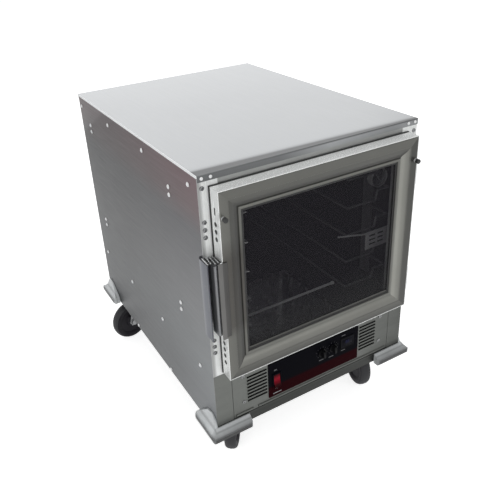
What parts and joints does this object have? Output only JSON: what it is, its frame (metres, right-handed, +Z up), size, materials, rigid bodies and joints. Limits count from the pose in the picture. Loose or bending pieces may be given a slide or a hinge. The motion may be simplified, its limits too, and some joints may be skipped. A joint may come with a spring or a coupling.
{
  "type": "heated proofer cabinet",
  "caption": "Half-height heated holding and proofing cabinet with a clear hinged door, wire pan slides, a slide-out heater module and swivel casters.",
  "frame": {"origin": "on the floor, under the middle of the whole outline", "axes": "+Z up, the door faces -Y, +X to the right as seen from the front"},
  "size_m": [0.6454, 0.835, 0.828],
  "materials": {
    "side_sheet": "satin mill finish",
    "top_sheet": "satin mill finish",
    "frame_sheet": "satin",
    "jamb_sheet": "bright",
    "door_metal": "satin",
    "bright_chrome": "polished",
    "wire": "plated wire",
    "zinc_steel": "zinc plated",
    "pan_steel": "drawn stainless",
    "heater_steel": "heat darkened sheath",
    "motor_iron": "matt black paint",
    "grey_bumper": "moulded grey",
    "black_rubber": "soft black",
    "wheel_rubber": "dark grey tread",
    "dial_white": "printed white",
    "needle_black": "matt black",
    "clear_lens": "clear",
    "clear_window": "clear, dark behind",
    "panel_black": "printed overlay",
    "switch_red": "lit rocker",
    "knob_black": "moulded black"
  },
  "bodies": {
    "cabinet": {"left_side": "side_sheet", "right_side": "side_sheet", "top_panel": "top_sheet", "back_panel": "side_sheet", "base_pan": "side_sheet", "floor_strips": "side_sheet", "front_rails": "frame_sheet", "door_jambs": "jamb_sheet", "lower_posts": "frame_sheet", "face_seal": "black_rubber", "slide_uprights": "side_sheet", "pan_slides_left": "wire", "pan_slides_right": "wire", "hinge_leaves": "bright_chrome", "latch_guard": "bright_chrome", "corner_bumpers": "grey_bumper", "caster_plates": "zinc_steel", "thermometer_case": "bright_chrome", "thermometer_face": "dial_white", "thermometer_lens": "clear_lens"},
    "door": {"door_frame": "door_metal", "door_edges": "jamb_sheet", "window": "clear_window", "window_seal": "black_rubber", "door_studs": "black_rubber", "door_leaves": "bright_chrome", "latch_body": "bright_chrome"},
    "module": {"module_tray": "side_sheet", "module_front": "frame_sheet", "module_deck": "side_sheet", "control_panel": "panel_black", "thermostats": "knob_black", "readout": "panel_black", "blower_housing": "zinc_steel", "blower_motor": "motor_iron", "heating_elements": "heater_steel", "power_inlet": "knob_black"},
    "latch_handle": {"latch_handle": "bright_chrome"},
    "power_switch": {"power_switch": "switch_red"},
    "humidity_knob": {"humidity_knob": "knob_black"},
    "heat_knob": {"heat_knob": "knob_black"},
    "blower_wheel": {"blower_wheel": "zinc_steel"},
    "water_pan": {"water_pan": "pan_steel"},
    "needle": {"thermometer_needle": "needle_black"},
    "fork_front_left": {"caster_fork_front_left": "zinc_steel"},
    "wheel_front_left": {"caster_wheel_front_left": "wheel_rubber"},
    "fork_front_right": {"caster_fork_front_right": "zinc_steel"},
    "wheel_front_right": {"caster_wheel_front_right": "wheel_rubber"},
    "fork_rear_left": {"caster_fork_rear_left": "zinc_steel"},
    "wheel_rear_left": {"caster_wheel_rear_left": "wheel_rubber"},
    "fork_rear_right": {"caster_fork_rear_right": "zinc_steel"},
    "wheel_rear_right": {"caster_wheel_rear_right": "wheel_rubber"}
  },
  "joints": [
    {"name": "door_hinge", "type": "hinge", "parent": "cabinet", "child": "door", "pos_m": [0.2635, -0.3945, 0.563], "axis": [0, 0, 1], "range_deg": [0, 180]},
    {"name": "latch_pull", "type": "hinge", "parent": "door", "child": "latch_handle", "pos_m": [-0.271, -0.3905, 0.555], "axis": [0, 0, 1], "range_deg": [0, 30]},
    {"name": "module_slide", "type": "slide", "parent": "cabinet", "child": "module", "axis": [0, -1, 0], "range_m": [0, 0.5]},
    {"name": "power_rock", "type": "hinge", "parent": "module", "child": "power_switch", "pos_m": [-0.118, -0.3665, 0.2445], "axis": [1, 0, 0], "range_deg": [0, 16]},
    {"name": "humidity_turn", "type": "hinge", "parent": "module", "child": "humidity_knob", "pos_m": [0.019, -0.3685, 0.267], "axis": [0, 1, 0], "range_deg": [0, 270]},
    {"name": "heat_turn", "type": "hinge", "parent": "module", "child": "heat_knob", "pos_m": [0.054, -0.3685, 0.267], "axis": [0, 1, 0], "range_deg": [0, 270]},
    {"name": "blower_spin", "type": "hinge", "parent": "module", "child": "blower_wheel", "pos_m": [0, 0.1335, 0.26], "axis": [0, 0, 1], "continuous": true},
    {"name": "water_pan_lift", "type": "slide", "parent": "module", "child": "water_pan", "axis": [0, 0, 1], "range_m": [0, 0.16]},
    {"name": "needle_turn", "type": "hinge", "parent": "cabinet", "child": "needle", "pos_m": [0.254, -0.2815, 0.66], "axis": [0, 1, 0], "range_deg": [-97, 173]},
    {"name": "swivel_front_left", "type": "hinge", "parent": "cabinet", "child": "fork_front_left", "pos_m": [-0.221, -0.3015, 0.14], "axis": [0, 0, 1], "continuous": true},
    {"name": "roll_front_left", "type": "hinge", "parent": "fork_front_left", "child": "wheel_front_left", "pos_m": [-0.19873, -0.27195, 0.0635], "axis": [-0.7986, 0.6018, 0], "continuous": true},
    {"name": "swivel_front_right", "type": "hinge", "parent": "cabinet", "child": "fork_front_right", "pos_m": [0.221, -0.3015, 0.14], "axis": [0, 0, 1], "continuous": true},
    {"name": "roll_front_right", "type": "hinge", "parent": "fork_front_right", "child": "wheel_front_right", "pos_m": [0.22995, -0.2656, 0.0635], "axis": [-0.9703, 0.2419, 0], "continuous": true},
    {"name": "swivel_rear_left", "type": "hinge", "parent": "cabinet", "child": "fork_rear_left", "pos_m": [-0.221, 0.3305, 0.14], "axis": [0, 0, 1], "continuous": true},
    {"name": "roll_rear_left", "type": "hinge", "parent": "fork_rear_left", "child": "wheel_rear_left", "pos_m": [-0.25726, 0.32312, 0.0635], "axis": [0.1994, -0.9799, 0], "continuous": true},
    {"name": "swivel_rear_right", "type": "hinge", "parent": "cabinet", "child": "fork_rear_right", "pos_m": [0.221, 0.3305, 0.14], "axis": [0, 0, 1], "continuous": true},
    {"name": "roll_rear_right", "type": "hinge", "parent": "fork_rear_right", "child": "wheel_rear_right", "pos_m": [0.25726, 0.32312, 0.0635], "axis": [0.1994, 0.9799, 0], "continuous": true}
  ]
}
